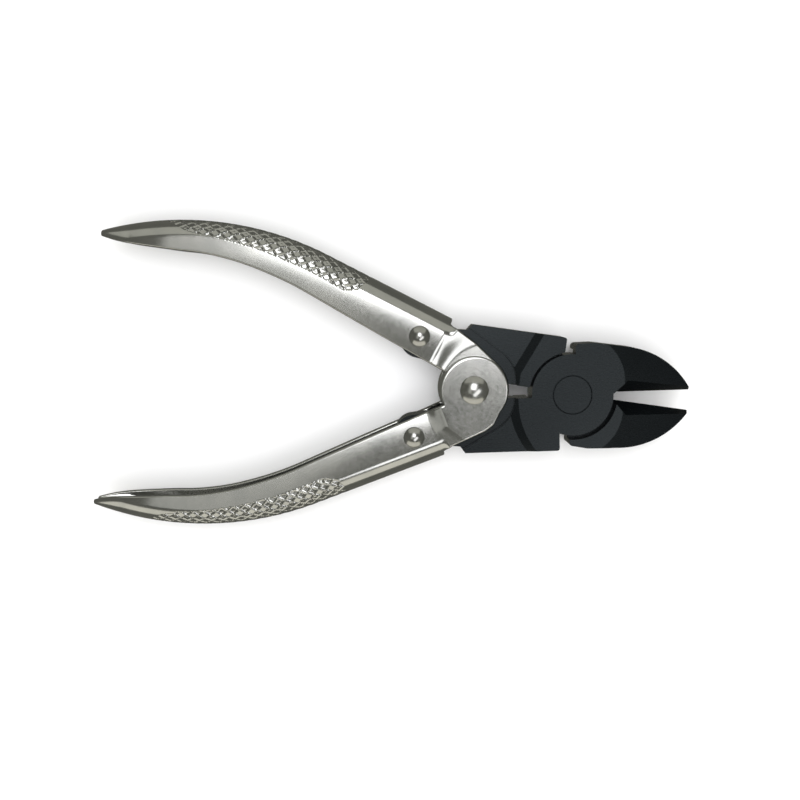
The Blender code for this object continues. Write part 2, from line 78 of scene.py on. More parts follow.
# Jaws
BLADE_REACH = 32.1
DISC_R = 10.9
LAP_CUT_R = 11.85
LAP_CUT_SHIFT = 0.18
EDGE_HALF_GAP = 0.07
EDGE_HALF_LAND = 0.1
TAIL_HALF_GAP = 0.45
BLADE_SHOULDER_X = 1.0
TAIL_SHOULDER_X = -3.7
TAIL_EDGE_Y = 14.9
TAIL_CORNER_R = 0.7
BLADE_CORNER_R = 1.0
STEP_RUN = 2.4
STEP_TOP_Y = 15.5
STEP_LOW_Y = -1.0
BOSS_R = 5.0
BOSS_INSET = 0.8
BLADE_CONE_CENTRE = (1.0, -3.5)
BLADE_CONE_R = 13.0
BLADE_CONE_SLOPE = 0.2
BLADE_CONE_START = -88.0
BLADE_CONE_SWEEP = 110.0
EDGE_GRIND_START = 11.1
EDGE_GRIND_RUN = 3.7
EDGE_GRIND_LEAD = 4.1
SPACER_CLEAR_R = 5.5
EAR_CLEAR_R = 9.8
EAR_CLEAR_SWEEP = 62.0
# How far, or up to where, the cutters reach past the metal
OVER_FACE = 0.2
PAST_FACE = 1.0
PAST_EDGE = 0.6
PAST_TIP_X = 34.0
PAST_TAIL_X = -60.0
# Edges harder than HARD_ANGLE are broken, but for those near the cutting edge and the tip
BROKEN_EDGE = 0.14
HARD_ANGLE = 28.0
SHARP_EDGE_HALF = 0.5
SHARP_TIP = 2.5
# Points closer than WELD are merged, and faces within FLAT_ANGLE of each other become one
WELD = 0.005
FLAT_ANGLE = 0.5
JAW_FACET_ANGLE = 8.0

# Handles
SPINE_START = 13.8
SPINE_N = 14.19
BEND_START = 51.1
BEND_R = 85.3
BEND_SWEEP = 41.73
SPINE_LENGTH = BEND_START - SPINE_START + math.radians(BEND_SWEEP) * BEND_R
CAP_RISE = 5.0
UPPER_EAR_R = 9.4
LOWER_EAR_R = 9.1
LIP_N_AT_EAR = 0.65
EAR_STEP_START = 14.7
UPPER_EAR_FLAT_S = 9.3
UPPER_EAR_FLAT_N = 12.6
LOWER_CREASE_S = 10.0
LOWER_CREASE_N = 6.6
LOWER_CREASE_SLANT = 0.66
# The ear's far end is this arc round its pivot
EAR_END_START = 135.0
EAR_END_SWEEP = 90.0
# The ear's front line keeps in from the edge for the roll, and joins the rim FRONT_TO_RIM degrees on
FRONT_LEAN = 0.3
FRONT_TO_RIM = 2.0
ROLLED_EDGE = 0.4
# The walls curve in by WALL_CROWN times the squared depth below the cap, and go flat over FLATTEN_RUN
WALL_CROWN = 0.0055
FLATTEN_RUN = 2.5
# (length along the spine, depth of the channel there)
DEPTHS = [(0, 13.4), (16, 12.7), (35, 11.7), (50, 10.8), (61, 9.8), (72, 8.8), (79, 8.2), (86, 6.9),
          (91, 5.6), (95, 4.1), (98, 2.5), (100, 1.3)]
NARROWING_START = 80.0
NARROWING_LENGTH = 21.6
THINNING_START = 90.0
TIP_SHEET = 1.1
TIP_CAP_SHARE = 0.999
# The front edges of the ears, from the channel's end to where the ear's own circle starts
UPPER_EAR_FRONT = [(12.3, 12.6), (11.4, 12.4), (5.4, 11.4), (-2.6, 9.03)]
LOWER_EAR_FRONT = [(12.4, 12.7), (10.8, 12.1), (5.5, 11.7), (1.1, 11.4), (-1.6, 10.6), (-4.4, 7.97)]
# How finely the sheet is divided
WALL_ROWS = 22
CAP_ROWS = 48
PATCH_CAP_ROWS = 25
PATCH_ROWS = WALL_ROWS + PATCH_CAP_ROWS
EAR_COLUMNS = 60
ROLL_STEPS = 6
PLAIN_STEP = 0.55
KNURL_STEP = 0.18
LAST_STEP = 0.3
HANDLE_FACET_ANGLE = 40.0
# Keeps the polish marks on the rear ears apart from those on the front ones
REAR_MARKS_SHIFT = 40

# Knurl: sunk diamonds between raised ridges
DIAMOND_LONG = 3.3
DIAMOND_WIDE = 2.3
RIDGE_HALF = 0.06
DIAMOND_SLOPE = 0.2
KNURL_DEPTH = 0.26
KNURL_FADE = 0.2
# It is worn to a share of its depth, which differs by KNURL_WEAR from place to place
KNURL_WORN_TO = 0.85
KNURL_WEAR = 0.3
KNURL_WEAR_SCALE = 0.35
KNURL_SPAN = (23.5, 86.5)
LOWER_KNURL_SHIFT = 3.0
# (length along the spine, how far the knurl reaches to either side of it)
KNURL_LIMITS = [(24.2, 0.0), (24.6, 4.5), (25.8, 8.4), (29, 10.2), (46, 9.8), (60, 8.9), (72, 7.9),
                (77, 6.5), (80.5, 3.4), (81.8, 0.0)]

# Rivets and pin
PIN_R = 5.15
PIN_SHANK_R = 4.2
PIN_COUNTERSINK = 1.2
PIN_BROKEN_EDGE = 0.15
PIN_SEGMENTS = 160
RIVET_SHANK_R = 3.0
RIVET_HEAD_R = 3.8
RIVET_DOME = 1.35
TAIL_SHANK_R = 1.9
TAIL_HEAD_R = 2.8
TAIL_DOME = 1.3
DOME_STEPS = 18
HEAD_SKIRT = 0.16
HEAD_CHAMFER = 0.12
HEAD_CHAMFER_RISE = 0.08
FIT = 0.1
OPEN_PIVOT_FIT = 0.3
HEAD_GAP = 0.08

# Stage and light, with lengths in metres
FLOOR_SIZE = 40.0
FLOOR_WASH = 2.6
PANEL_DISTANCE = 0.8

# Camera: its aim is measured from the jaw pivot
CAMERA_DISTANCE = 300.0
CAMERA_AIM = (-45.95, -4.27)
CAMERA_ROLL = 3.05
CAMERA_TILT = 5.5
VIEW_WIDTH = 217.3


# ---- plan geometry ----

def arc(centre, radius, start, end):
    """Points on an arc, both ends included, about a chord apart."""
    count = max(2, math.ceil(abs(math.radians(end - start)) * radius / CHORD))
    turns = [math.radians(start + (end - start) * i / count) for i in range(count + 1)]
    return [(centre[0] + radius * math.cos(t), centre[1] + radius * math.sin(t)) for t in turns]


def circle(centre, radius):
    return arc(centre, radius, 0, 360)[:-1]


def arc_through(first, middle, last):
    """Points on the arc from first through middle to last."""
    (ax, ay), (bx, by), (cx, cy) = first, middle, last
    area = 2 * (ax * (by - cy) + bx * (cy - ay) + cx * (ay - by))
    a2, b2, c2 = ax * ax + ay * ay, bx * bx + by * by, cx * cx + cy * cy
    centre = ((a2 * (by - cy) + b2 * (cy - ay) + c2 * (ay - by)) / area,
              (a2 * (cx - bx) + b2 * (ax - cx) + c2 * (bx - ax)) / area)
    start = math.degrees(math.atan2(ay - centre[1], ax - centre[0]))
    end = math.degrees(math.atan2(cy - centre[1], cx - centre[0]))
    if area > 0 and end < start:
        end += 360
    if area < 0 and end > start:
        end -= 360
    return arc(centre, math.dist(centre, first), start, end)


def turned_point(point, degrees):
    """The plan point turned about the origin."""
    x, y = point
    c, s = math.cos(math.radians(degrees)), math.sin(math.radians(degrees))
    return (x * c - y * s, x * s + y * c)


def smooth_step(value):
    value = min(max(value, 0.0), 1.0)
    return value * value * (3 - 2 * value)


def through_stations(stations, at):
    """A smooth curve through (position, value) stations, read at one position."""
    if at <= stations[0][0]:
        return stations[0][1]
    for i in range(len(stations) - 1):
        (p1, v1), (p2, v2) = stations[i], stations[i + 1]
        if at <= p2:
            break
    else:
        return stations[-1][1]
    p0, v0 = stations[max(i - 1, 0)]
    p3, v3 = stations[min(i + 2, len(stations) - 1)]
    run = p2 - p1
    slope1 = (v2 - v0) / (p2 - p0) * run
    slope2 = (v3 - v1) / (p3 - p1) * run
    t = (at - p1) / run
    return ((2 * t ** 3 - 3 * t ** 2 + 1) * v1 + (t ** 3 - 2 * t ** 2 + t) * slope1
            + (3 * t ** 2 - 2 * t ** 3) * v2 + (t ** 3 - t ** 2) * slope2)


def straight_through(stations, at):
    """Straight lines between (position, value) stations."""
    for (p1, v1), (p2, v2) in zip(stations, stations[1:]):
        if p1 <= at <= p2:
            return v1 + (v2 - v1) * (at - p1) / (p2 - p1)
    return 0.0


def resampled(line, count):
    """count + 1 points at even steps along a line of plan points."""
    lengths = [0.0]
    for a, b in zip(line, line[1:]):
        lengths.append(lengths[-1] + math.dist(a, b))
    points = []
    k = 1
    for i in range(count + 1):
        want = lengths[-1] * i / count
        while k < len(line) - 1 and lengths[k] < want:
            k += 1
        part = (want - lengths[k - 1]) / (lengths[k] - lengths[k - 1])
        (ax, ay), (bx, by) = line[k - 1], line[k]
        points.append((ax + (bx - ax) * part, ay + (by - ay) * part))
    return points


# ---- solids ----

def loft(lower, low_z, upper, high_z):
    """A closed bmesh between two outlines with the same number of points."""
    bm = bmesh.new()
    rings = [[bm.verts.new((x * MM, y * MM, z * MM)) for x, y in outline]
             for outline, z in ((lower, low_z), (upper, high_z))]
    count = len(lower)
    bm.faces.new(reversed(rings[0]))
    bm.faces.new(rings[1])
    for i in range(count):
        after = (i + 1) % count
        bm.faces.new((rings[0][i], rings[0][after], rings[1][after], rings[1][i]))
    bmesh.ops.recalc_face_normals(bm, faces=bm.faces)
    return bm


def prism(outline, low_z, high_z):
    return loft(outline, low_z, outline, high_z)


def turned(profile, ring=False, segments=96, start=0.0, sweep=360.0):
    """A closed bmesh turned about Z from (radius, height) points. A ring's profile closes on itself,
    and a sweep under 360 makes a sector with flat ends."""
    bm = bmesh.new()
    whole = sweep == 360.0
    steps = segments if whole else segments + 1
    columns = []
    poles = {}
    for i in range(steps):
        t = math.radians(start + sweep * i / segments)
        column = []
        for k, (r, z) in enumerate(profile):
            if r == 0 and k in poles:
                column.append(poles[k])
                continue
            vert = bm.verts.new((r * math.cos(t) * MM, r * math.sin(t) * MM, z * MM))
            if r == 0:
                poles[k] = vert
            column.append(vert)
        columns.append(column)
    spans = len(profile) if ring else len(profile) - 1
    for i in range(segments):
        here, there = columns[i], columns[(i + 1) % len(columns)]
        for k in range(spans):
            after = (k + 1) % len(profile)
            corners = [here[k], there[k], there[after], here[after]]
            bm.faces.new([v for j, v in enumerate(corners) if v not in corners[:j]])
    if not whole:
        bm.faces.new(columns[0])
        bm.faces.new(columns[-1])
    bmesh.ops.recalc_face_normals(bm, faces=bm.faces)
    return bm


def hull(points):
    """The convex hull of points, as a closed bmesh."""
    bm = bmesh.new()
    verts = [bm.verts.new(Vector(p) * MM) for p in points]
    made = bmesh.ops.convex_hull(bm, input=verts)
    loose = set(made["geom_interior"]) | set(made["geom_unused"])
    bmesh.ops.delete(bm, geom=list(loose), context="VERTS")
    bmesh.ops.recalc_face_normals(bm, faces=bm.faces)
    return bm


def moved(bm, x, y):
    bmesh.ops.translate(bm, vec=(x * MM, y * MM, 0), verts=bm.verts)
    return bm


def mirrored_down(bm):
    """The same cutter on the rear side."""
    bmesh.ops.transform(bm, matrix=Matrix.Scale(-1, 4, (0, 0, 1)), verts=bm.verts)
    bmesh.ops.reverse_faces(bm, faces=bm.faces)
    return bm


def mesh_of(bm, name):
    mesh = bpy.data.meshes.new(name)
    bm.to_mesh(mesh)
    bm.free()
    return mesh


def carved(name, blank, cutters):
    """The mesh of a blank after each cutter is taken away from it."""
    block = bpy.data.objects.new(name, blank)
    bpy.context.collection.objects.link(block)
    tools = []
    for i, cutter in enumerate(cutters):
        tool = bpy.data.objects.new(f"{name}_cutter_{i}", mesh_of(cutter, f"{name}_cutter_{i}"))
        bpy.context.collection.objects.link(tool)
        cut = block.modifiers.new(tool.name, "BOOLEAN")
        cut.operation = "DIFFERENCE"
        cut.solver = "EXACT"
        cut.object = tool
        tools.append(tool)
    result = evaluated_mesh(block)
    for used in [block, *tools]:
        bpy.data.objects.remove(used)
    return result


def evaluated_mesh(obj):
    graph = bpy.context.evaluated_depsgraph_get()
    return bpy.data.meshes.new_from_object(obj.evaluated_get(graph))


# ---- jaws, drawn closed about the jaw pivot ----

def tail_rivet_in_jaw():
    """Where the jaw's tail rivet lies once the jaw is closed."""
    return turned_point((UPPER_TAIL.x - JAW_PIVOT.x, UPPER_TAIL.y), JAW_OPENING)


def closed_handle_pivot_x():
    """Where the handle rivet lies from the jaw pivot once the blades meet."""
    link = math.hypot(UPPER_TAIL.x - HANDLE_PIVOT.x, UPPER_TAIL.y)
    tail_x, tail_y = tail_rivet_in_jaw()
    return tail_x + math.sqrt(link ** 2 - tail_y ** 2)


def blade_back():
    """The outer edge of the blade, from its shoulder to its tip."""
    corner = arc((BLADE_SHOULDER_X + BLADE_CORNER_R, -12.6), BLADE_CORNER_R, 180, 270)
    return corner + [(6.2, -13.7)] + arc_through((14.2, -12.5), (25.2, -8.3), (32.0, -0.8))


def jaw_outline():
    """The jaw's plan when closed: disc, tail up to the left, blade down to the right."""
    handle_x = closed_handle_pivot_x()
    rivet_x, rivet_y = tail_rivet_in_jaw()
    half_mouth = math.degrees(math.asin(EDGE_HALF_GAP / DISC_R))
    half_notch = math.degrees(math.asin(TAIL_HALF_GAP / DISC_R))
    tail_meets_disc = math.degrees(math.acos(TAIL_SHOULDER_X / DISC_R))
    blade_meets_disc = 360 - math.degrees(math.acos(BLADE_SHOULDER_X / DISC_R))
    spacer_meets_tail = math.degrees(math.asin(TAIL_HALF_GAP / SPACER_CLEAR_R))
    points = [(BLADE_REACH, -EDGE_HALF_GAP)]
    points += arc((0, 0), DISC_R, -half_mouth, tail_meets_disc)
    points += arc((TAIL_SHOULDER_X - TAIL_CORNER_R, TAIL_EDGE_Y - TAIL_CORNER_R), TAIL_CORNER_R, 0, 90)
    points += [(-29.0, TAIL_EDGE_Y), (-30.3, 13.2), (-37.7, 12.5)]
    points += arc((rivet_x, rivet_y - BOSS_INSET), BOSS_R, 60, 265)
    points += arc((handle_x, 0), SPACER_CLEAR_R, 150, spacer_meets_tail)
    points += arc((0, 0), DISC_R, 180 - half_notch, blade_meets_disc)
    return points + blade_back()


def front_step():
    """The angular edge of the thick block on the side that faces forward."""
    return [(-9.65, STEP_TOP_Y), (-13.5, 6.3), (-14.6, 3.7), (-14.5, STEP_LOW_Y)]


def rear_step():
    """The curved edge of the thick block on the other side."""
    return arc_through((-9.4, STEP_TOP_Y), (-13.0, 9.4), (-14.5, 1.1)) + [(-14.5, STEP_LOW_Y)]


def step_cutter(edge):
    """Brings the tail down to its level, with a slope next to the thick block."""
    rise = JAW_HALF - TAIL_HALF
    far = [(PAST_TAIL_X, STEP_LOW_Y), (PAST_TAIL_X, STEP_TOP_Y)]
    low = [(x - STEP_RUN, y) for x, y in edge]
    high = [(x + STEP_RUN * OVER_FACE / rise, y) for x, y in edge]
    return loft(low + far, TAIL_HALF, high + far, JAW_HALF + OVER_FACE)


def recess_cutter():
    """The milled flat that the handles' ears swing over."""
    handle = (closed_handle_pivot_x(), 0)
    outline = [(-38.6, -2.0), (handle[0] + EAR_CLEAR_R, -2.0)]
    outline += arc(handle, EAR_CLEAR_R, 0, EAR_CLEAR_SWEEP) + [(-27.6, 12.75), (-36.0, 17.3), (-38.6, 18.5)]
    return prism(outline, RECESS_HALF, JAW_HALF + PAST_FACE)


def lap_cutter():
    """Clears half the thickness round the pivot for the other jaw's disc."""
    return prism(circle((LAP_CUT_SHIFT, -LAP_CUT_SHIFT), LAP_CUT_R), -LAP_GAP, JAW_HALF + PAST_FACE)


def cone_cutter():
    """Thins the blade towards its tip."""
    inner, outer = BLADE_CONE_R - 1.0, 40.0
    top = JAW_HALF + 2 * PAST_FACE
    profile = [(r, JAW_HALF - BLADE_CONE_SLOPE * (r - BLADE_CONE_R)) for r in (inner, outer)]
    profile += [(outer, top), (inner, top)]
    sector = turned(profile, ring=True, start=BLADE_CONE_START, sweep=BLADE_CONE_SWEEP)
    return moved(sector, *BLADE_CONE_CENTRE)


def edge_cutter():
    """Grinds the blade to its cutting edge on one side."""
    top = JAW_HALF + OVER_FACE
    land = [(x, y, EDGE_HALF_LAND)
            for x in (EDGE_GRIND_START, PAST_TIP_X) for y in (PAST_EDGE, -EDGE_HALF_GAP)]
    back = [(EDGE_GRIND_START, -EDGE_HALF_GAP, top),
            (EDGE_GRIND_START + EDGE_GRIND_LEAD, -EDGE_GRIND_RUN, top), (PAST_TIP_X, -EDGE_GRIND_RUN, top)]
    return hull(land + back + [(EDGE_GRIND_START, PAST_EDGE, top), (PAST_TIP_X, PAST_EDGE, top)])


def countersunk(radius, shank, depth, half):
    """A shank with a flared end at each face, as (radius, height) points up the outside."""
    return [(0, -half), (radius, -half), (shank, depth - half),
            (shank, half - depth), (radius, half), (0, half)]


def jaw_mesh():
    """Both jaws are the same forging, one turned over."""
    past = JAW_HALF + PAST_FACE
    wall = countersunk(PIN_R + FIT, PIN_SHANK_R + FIT, PIN_COUNTERSINK, JAW_HALF)[1:-1]
    hole = [(0, -past), (PIN_R + FIT, -past), *wall, (PIN_R + FIT, past), (0, past)]
    rivet_hole = prism(circle(tail_rivet_in_jaw(), TAIL_SHANK_R + OPEN_PIVOT_FIT), -past, past)
    cutters = [step_cutter(front_step()), mirrored_down(step_cutter(rear_step())),
               recess_cutter(), mirrored_down(recess_cutter()), lap_cutter(),
               cone_cutter(), mirrored_down(cone_cutter()), edge_cutter(), mirrored_down(edge_cutter()),
               turned(hole), rivet_hole]
    return carved("jaw", mesh_of(prism(jaw_outline(), -JAW_HALF, JAW_HALF), "jaw"), cutters)


# ---- handles, in plan coordinates along the handle (s) and out from it (n) ----

def spine_point(t):
    """The outer edge at length t along it: (s, n) and the outward direction there."""
    straight = BEND_START - SPINE_START
    if t <= straight:
        return (SPINE_START + t, SPINE_N), (0.0, 1.0)
    turn = (t - straight) / BEND_R
    out = (math.sin(turn), math.cos(turn))
    return (BEND_START + BEND_R * out[0], SPINE_N - BEND_R + BEND_R * out[1]), out


def half_width(t):
    past = max(t - NARROWING_START, 0) / NARROWING_LENGTH
    return WALL_OUTER * math.sqrt(1 - past ** 2)


def half_section(t):
    """One side of the channel at length t: (depth below the outer edge, z, outward direction), lip first."""
    lip = through_stations(DEPTHS, t) - ROLLED_EDGE
    width = half_width(t)
    rise = min(CAP_RISE, lip * TIP_CAP_SHARE)
    rows = []
    for k in range(WALL_ROWS):
        below = (lip - rise) * (1 - k / WALL_ROWS)
        lean = 2 * WALL_CROWN * below
        rows.append((rise + below, width - WALL_CROWN * below ** 2, (-lean, 1.0)))
    for k in range(CAP_ROWS + 1):
        a = math.radians(90 * (1 - k / CAP_ROWS))
        towards = Vector((math.cos(a) / rise, math.sin(a) / width)).normalized()
        rows.append((rise * (1 - math.cos(a)), width * math.sin(a), (towards.x, towards.y)))
    return rows


def knurl_drop(t, across, limit):
    """How far the surface is pressed in at length t and a distance across from the spine's crown."""
    inside = limit - abs(across)
    if inside <= 0:
        return 0.0
    p = t / DIAMOND_LONG + across / DIAMOND_WIDE
    q = t / DIAMOND_LONG - across / DIAMOND_WIDE
    to_ridge = min(abs(p - round(p)), abs(q - round(q))) / math.hypot(1 / DIAMOND_LONG, 1 / DIAMOND_WIDE)
    patch = Vector((t * KNURL_WEAR_SCALE, across * KNURL_WEAR_SCALE, 0.0))
    wear = KNURL_WORN_TO + KNURL_WEAR * noise.noise(patch)
    sunk = smooth_step((to_ridge - RIDGE_HALF) / DIAMOND_SLOPE)
    return KNURL_DEPTH * wear * sunk * smooth_step(inside / KNURL_FADE)


def channel_column(t, knurl_shift):
    """Outer and inner points of the whole section at length t, with the distance across at each point."""
    (s, n), out = spine_point(t)
    thinning = smooth_step((t - THINNING_START) / (SPINE_LENGTH - THINNING_START))
    sheet = SHEET + (TIP_SHEET - SHEET) * thinning
    rows = half_section(t)
    rows += [(d, -z, (u, -w)) for d, z, (u, w) in reversed(rows[:-1])]
    crown = len(rows) // 2
    across = [0.0] * len(rows)
    for side in (-1, 1):
        for k in range(crown + side, crown + side * (crown + 1), side):
            step = math.hypot(rows[k][0] - rows[k - side][0], rows[k][1] - rows[k - side][1])
            across[k] = across[k - side] + side * step
    limit = straight_through(KNURL_LIMITS, t - knurl_shift)
    outer, inner = [], []
    for (d, z, (u, w)), far in zip(rows, across):
        base = Vector((s - out[0] * d, n - out[1] * d, z))
        towards = Vector((out[0] * u, out[1] * u, w))
        inner.append(base - sheet * towards)
        outer.append(base - knurl_drop(t, far, limit) * towards)
    return outer, inner, [(t, far) for far in across]


def ear_patch(front_edge, ear_r):
    """Plan points of the flat wall from the channel's end round the ear, by column and row."""
    section = half_section(0)[:PATCH_ROWS + 1]
    root = [(SPINE_START, SPINE_N - d) for d, _, _ in section]
    rim = ear_r - ROLLED_EDGE
    lip_angle = math.degrees(math.asin((LIP_N_AT_EAR + ROLLED_EDGE) / rim))
    lip_line = [root[0]] + arc((0, 0), rim, lip_angle, EAR_END_START + EAR_END_SWEEP - 360)
    front = [(s + ROLLED_EDGE * FRONT_LEAN, n - ROLLED_EDGE) for s, n in front_edge]
    rim_start = math.degrees(math.atan2(front[-1][1], front[-1][0])) + FRONT_TO_RIM
    front_line = [root[-1]] + front + arc((0, 0), rim, rim_start, EAR_END_START)
    lips = resampled(lip_line, EAR_COLUMNS)
    fronts = resampled(front_line, EAR_COLUMNS)
    shares = [(root[0][1] - p[1]) / (root[0][1] - root[-1][1]) for p in root]
    turns = [math.radians(EAR_END_START + EAR_END_SWEEP - EAR_END_SWEEP * b) for b in shares]
    ends = [(rim * math.cos(turn), rim * math.sin(turn)) for turn in turns]
    grid = []
    for i in range(EAR_COLUMNS + 1):
        a = i / EAR_COLUMNS
        column = []
        for k, b in enumerate(shares):
            point = []
            for axis in (0, 1):
                across = (1 - b) * lips[i][axis] + b * fronts[i][axis]
                along = (1 - a) * root[k][axis] + a * ends[k][axis]
                corners = ((1 - a) * ((1 - b) * root[0][axis] + b * root[-1][axis])
                           + a * ((1 - b) * ends[0][axis] + b * ends[-1][axis]))
                point.append(across + along - corners)
            column.append(tuple(point))
        grid.append(column)
    return grid


def upper_ear_share(s, n):
    """How far the upper handle's wall has sloped in to its ear, which is flat under the other's ear."""
    flat_from = UPPER_EAR_FLAT_S * math.sqrt(max(1 - (n / UPPER_EAR_FLAT_N) ** 2, 0.0))
    ramp = min(max((EAR_STEP_START - s) / (EAR_STEP_START - flat_from), 0.0), 1.0)
    return 0.25 * ramp + 0.75 * smooth_step(ramp)


def lower_ear_share(s, n):
    """How far the lower handle's wall has risen to its ear, up to a crease that slants to the front."""
    crease = LOWER_CREASE_S - LOWER_CREASE_SLANT * max(n - LOWER_CREASE_N, 0.0)
    ramp = min(max((EAR_STEP_START - s) / (EAR_STEP_START - crease), 0.0), 1.0)
    return ramp ** 2


def ear_columns(front_edge, ear_r, ear_outer, ear_share):
    """Outer and inner points of both ears, from the ear's front back to the channel."""
    section = half_section(0)[:PATCH_ROWS + 1]
    result = []
    for column in reversed(ear_patch(front_edge, ear_r)[1:]):
        outer, inner, marks = [], [], []
        for (s, n), (_, section_z, (lean, upright)) in zip(column, section):
            flat = smooth_step((SPINE_START - s) / FLATTEN_RUN)
            share = ear_share(s, n)
            z = (section_z + (WALL_OUTER - section_z) * flat) * (1 - share) + ear_outer * share
            towards = Vector((lean * (1 - flat), upright * (1 - flat) + flat)).normalized()
            outer.append(Vector((s, n, z)))
            inner.append(Vector((s, n - SHEET * towards.x, z - SHEET * towards.y)))
            marks.append((s - SPINE_START, n))
        result.append((outer, inner, marks))
    return result


def channel_lengths():
    """Where the sections lie along the spine: close together through the knurl."""
    last = SPINE_LENGTH - ROLLED_EDGE
    lengths = [0.0]
    while lengths[-1] < last - LAST_STEP:
        knurled = KNURL_SPAN[0] < lengths[-1] < KNURL_SPAN[1]
        lengths.append(lengths[-1] + (KNURL_STEP if knurled else PLAIN_STEP))
    lengths[-1] = last
    return lengths


def rolled_rim(bm, edges, verts):
    """Rounds the sheet's bare edge between its outer and inner surface. edges holds, for each bare
    cell edge, its two grid places and the direction out of the sheet there."""
    outward = {}
    for a, b, away in edges:
        for place in (a, b):
            outward[place] = outward.get(place, Vector()) + away
    rings = {}
    for place, away in outward.items():
        first, last = verts[place + (0,)], verts[place + (1,)]
        across = last.co - first.co
        away = (away - away.project(across)).normalized()
        middle = (first.co + last.co) / 2
        ring = [first]
        for k in range(1, ROLL_STEPS):
            a = math.pi * k / ROLL_STEPS
            out = away * ROLLED_EDGE * MM * math.sin(a)
            ring.append(bm.verts.new(middle - across / 2 * math.cos(a) + out))
        rings[place] = ring + [last]
    for a, b, _ in edges:
        for k in range(ROLL_STEPS):
            bm.faces.new([rings[b][k], rings[a][k], rings[a][k + 1], rings[b][k + 1]])


def sheet_body(columns, is_metal):
    """A closed bmesh of a sheet from columns of (outer, inner, marks) points and a test for each cell."""
    bm = bmesh.new()
    marks = bm.loops.layers.uv.new("length_and_across")
    verts = {}

    def vert(i, k, side):
        if (i, k, side) not in verts:
            verts[i, k, side] = bm.verts.new(columns[i][side][k] * MM)
        return verts[i, k, side]

    edges = []
    for i in range(len(columns) - 1):
        for k in range(len(columns[i][0]) - 1):
            if not is_metal(i, k):
                continue
            corners = [(i, k), (i + 1, k), (i + 1, k + 1), (i, k + 1)]
            for side, order in ((0, corners), (1, corners[::-1])):
                face = bm.faces.new([vert(*c, side) for c in order])
                for loop, (ci, ck) in zip(face.loops, order):
                    loop[marks].uv = columns[ci][2][ck]
            centre = sum((vert(*c, 0).co for c in corners), Vector()) / 4
            beyond = [(i, k - 1), (i + 1, k), (i, k + 1), (i - 1, k)]
            for side, other in enumerate(beyond):
                if is_metal(*other):
                    continue
                a, b = corners[side], corners[(side + 1) % 4]
                pa, pb = verts[a + (0,)].co, verts[b + (0,)].co
                away = (pa + pb) / 2 - centre
                away -= away.project(pb - pa)
                edges.append((a, b, away.normalized()))
    rolled_rim(bm, edges, verts)
    bmesh.ops.recalc_face_normals(bm, faces=bm.faces)
    return bm


def handle_mesh(name, side, front_edge, ear_r, ear_outer, ear_share, knurl_shift):
    """A pressed channel handle with two ears. side is 1 above the tool's axis and -1 below it."""
    rows = 2 * (WALL_ROWS + CAP_ROWS)
    gap = rows + 1 - 2 * (PATCH_ROWS + 1)
    columns = []
    for outer, inner, marks in ear_columns(front_edge, ear_r, ear_outer, ear_share):
        whole = []
        for points in (outer, inner):
            back = [Vector((p.x, p.y, -p.z)) for p in reversed(points)]
            whole.append(points + [Vector((0, 0, 0))] * gap + back)
        back_marks = [(s, n + REAR_MARKS_SHIFT) for s, n in reversed(marks)]
        columns.append((*whole, marks + [(0, 0)] * gap + back_marks))
    ears = len(columns)
    columns += [channel_column(t, knurl_shift) for t in channel_lengths()]

    def is_metal(i, k):
        if not (0 <= i < len(columns) - 1 and 0 <= k < rows):
            return False
        return i >= ears or k < PATCH_ROWS or k >= rows - PATCH_ROWS

    bm = sheet_body(columns, is_metal)
    tilt = math.radians(HANDLE_TILT)
    plan = Matrix(((-math.cos(tilt), math.sin(tilt), 0, 0),
                   (side * math.sin(tilt), side * math.cos(tilt), 0, 0),
                   (0, 0, 1, 0), (0, 0, 0, 1)))
    bmesh.ops.transform(bm, matrix=plan, verts=bm.verts)
    bmesh.ops.recalc_face_normals(bm, faces=bm.faces)
    tail = (UPPER_TAIL.x - HANDLE_PIVOT.x, side * UPPER_TAIL.y)
    holes = [prism(circle((0, 0), RIVET_SHANK_R + FIT), -THROUGH, THROUGH),
             prism(circle(tail, TAIL_SHANK_R + FIT), -THROUGH, THROUGH)]
    return carved(name, mesh_of(bm, name), holes)


# ---- rivets and pin ----

def domed_rivet(shank_r, head_r, seat, dome):
    """A rivet with a low dome at each end; seat is the height of the heads' flat undersides."""
    rise = dome - HEAD_SKIRT
    ball = (head_r ** 2 + rise ** 2) / (2 * rise)
    edge = math.degrees(math.asin(head_r / ball))
    up = [(shank_r, seat), (head_r - HEAD_CHAMFER, seat), (head_r, seat + HEAD_CHAMFER_RISE)]
    for k in range(1, DOME_STEPS):
        a = math.radians(edge * (1 - k / DOME_STEPS))
        up.append((ball * math.sin(a), seat + dome - ball + ball * math.cos(a)))
    up.append((0, seat + dome))
    down = [(r, -z) for r, z in reversed(up)]
    return turned(down + up)


def flush_pin():
    """The jaws' pin, flared at both ends and flush with them, its edges broken."""
    half = JAW_HALF - LAP_GAP
    broken = PIN_BROKEN_EDGE
    profile = countersunk(PIN_R, PIN_SHANK_R, PIN_COUNTERSINK, half)
    profile[1:2] = [(PIN_R - broken, -half), (PIN_R, broken - half)]
    profile[-2:-1] = [(PIN_R, half - broken), (PIN_R - broken, half)]
    return turned(profile, segments=PIN_SEGMENTS)


# ---- materials ----

def new_material(name):
    """A material with its node tree emptied but for a Principled shader and the output."""
    made = bpy.data.materials.new(name)
    made.use_nodes = True
    return made, made.node_tree.nodes, made.node_tree.links, made.node_tree.nodes["Principled BSDF"]


